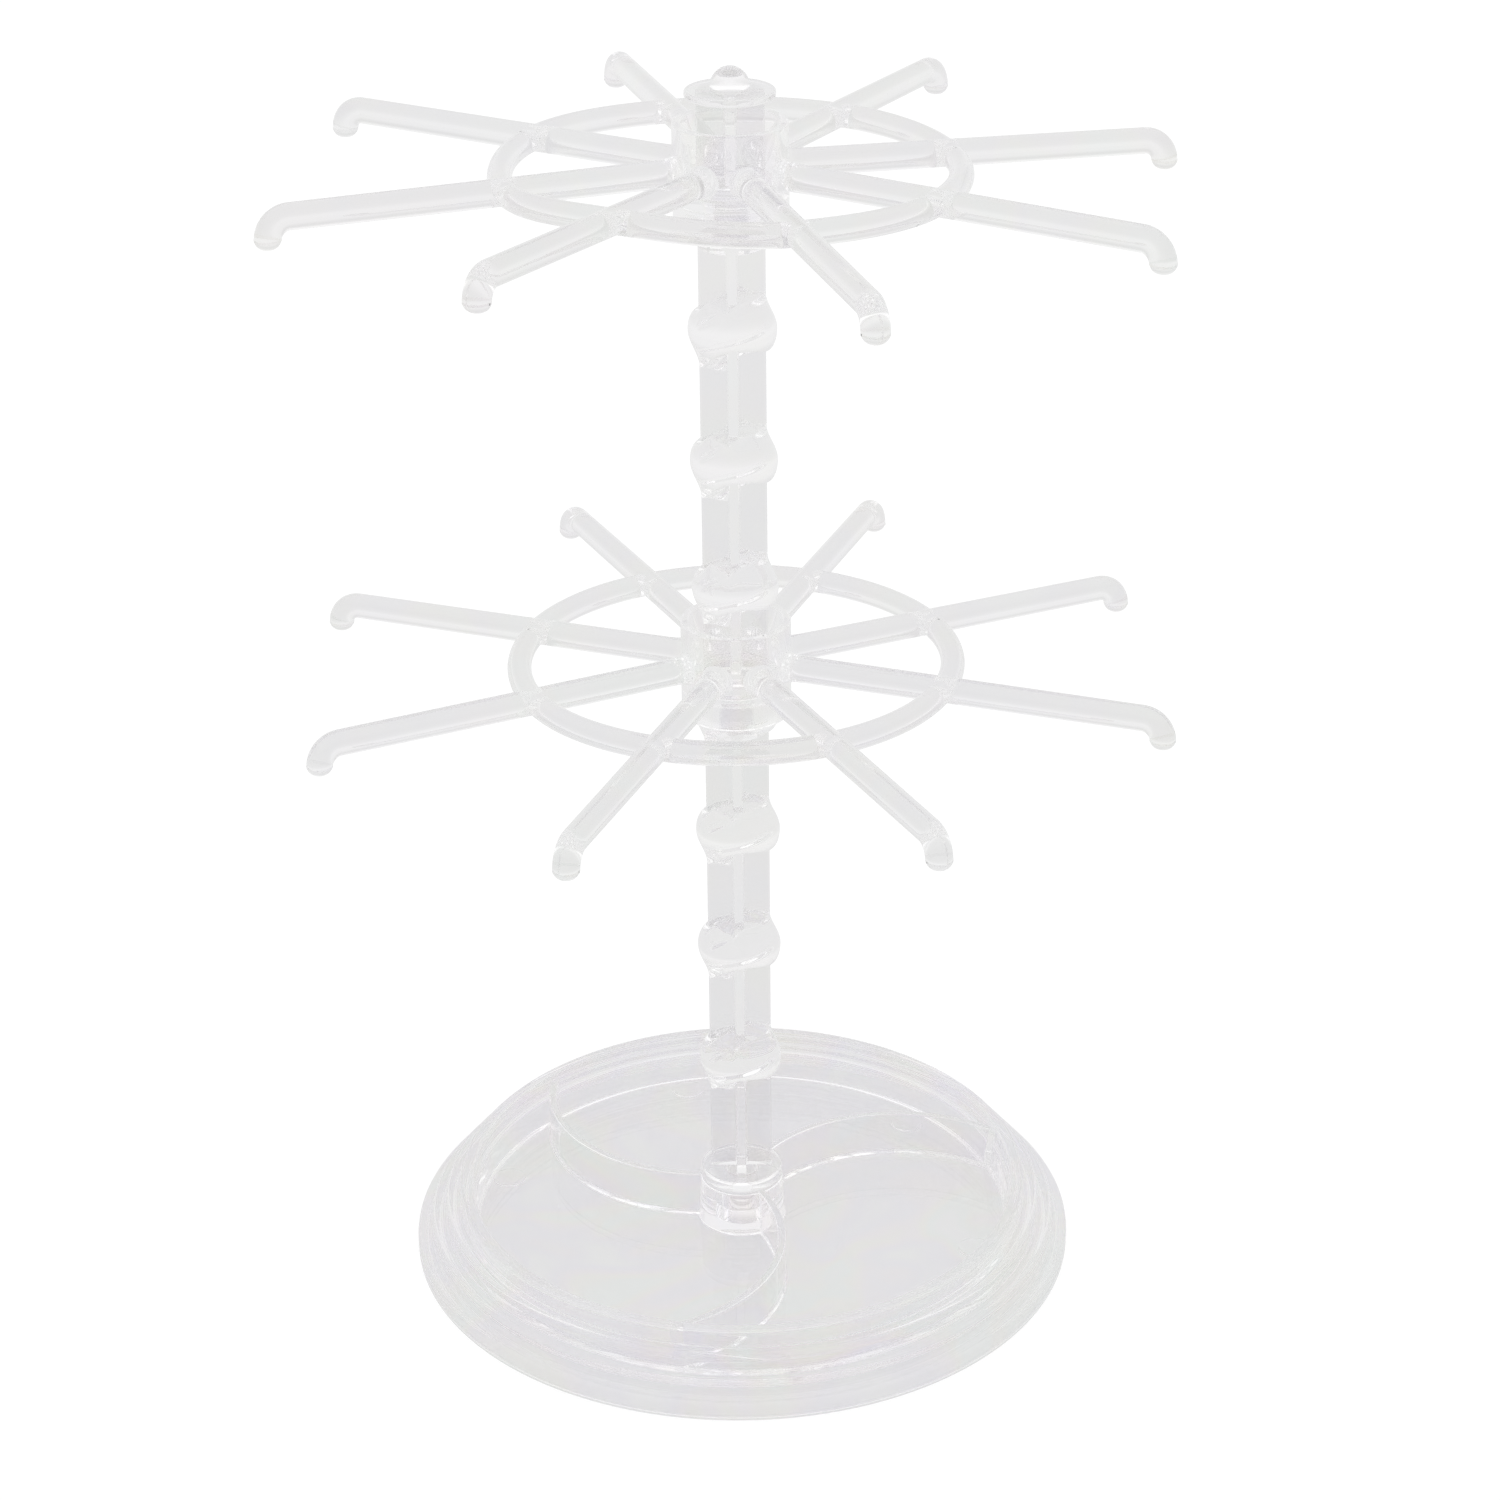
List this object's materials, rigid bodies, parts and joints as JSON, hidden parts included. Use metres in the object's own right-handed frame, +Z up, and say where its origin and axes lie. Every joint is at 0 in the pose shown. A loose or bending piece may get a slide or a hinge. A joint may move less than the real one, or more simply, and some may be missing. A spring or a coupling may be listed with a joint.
{
  "type": "two-tier rotating bracelet display rack",
  "caption": "Clear counter-top rack: round divided tray, ribbed centre pole and two spinning tiers of hooked arms for hanging bracelets.",
  "frame": {"origin": "on the pole's axis, on the surface that the tray stands on", "axes": "+Z up the pole; the picture looks along +Y, with +X to its right"},
  "size_m": [0.1888, 0.1888, 0.2774],
  "materials": {
    "base_tray": "clear, colourless, polished injection-moulded plastic",
    "lower_pole": "clear, colourless, polished injection-moulded plastic",
    "lower_carousel": "clear, colourless, polished injection-moulded plastic",
    "upper_pole": "clear, colourless, polished injection-moulded plastic",
    "upper_carousel": "clear, colourless, polished injection-moulded plastic",
    "top_cap": "clear, colourless, polished injection-moulded plastic"
  },
  "bodies": {
    "stand": {"base_tray": "base_tray", "lower_pole": "lower_pole", "upper_pole": "upper_pole", "top_cap": "top_cap"},
    "lower_tier": {"lower_carousel": "lower_carousel"},
    "upper_tier": {"upper_carousel": "upper_carousel"}
  },
  "joints": [
    {"name": "lower_carousel_spin", "type": "hinge", "parent": "stand", "child": "lower_tier", "pos_m": [0, 0, 0.1463], "axis": [0, 0, 1], "continuous": true},
    {"name": "upper_carousel_spin", "type": "hinge", "parent": "stand", "child": "upper_tier", "pos_m": [0, 0, 0.2563], "axis": [0, 0, 1], "continuous": true}
  ]
}
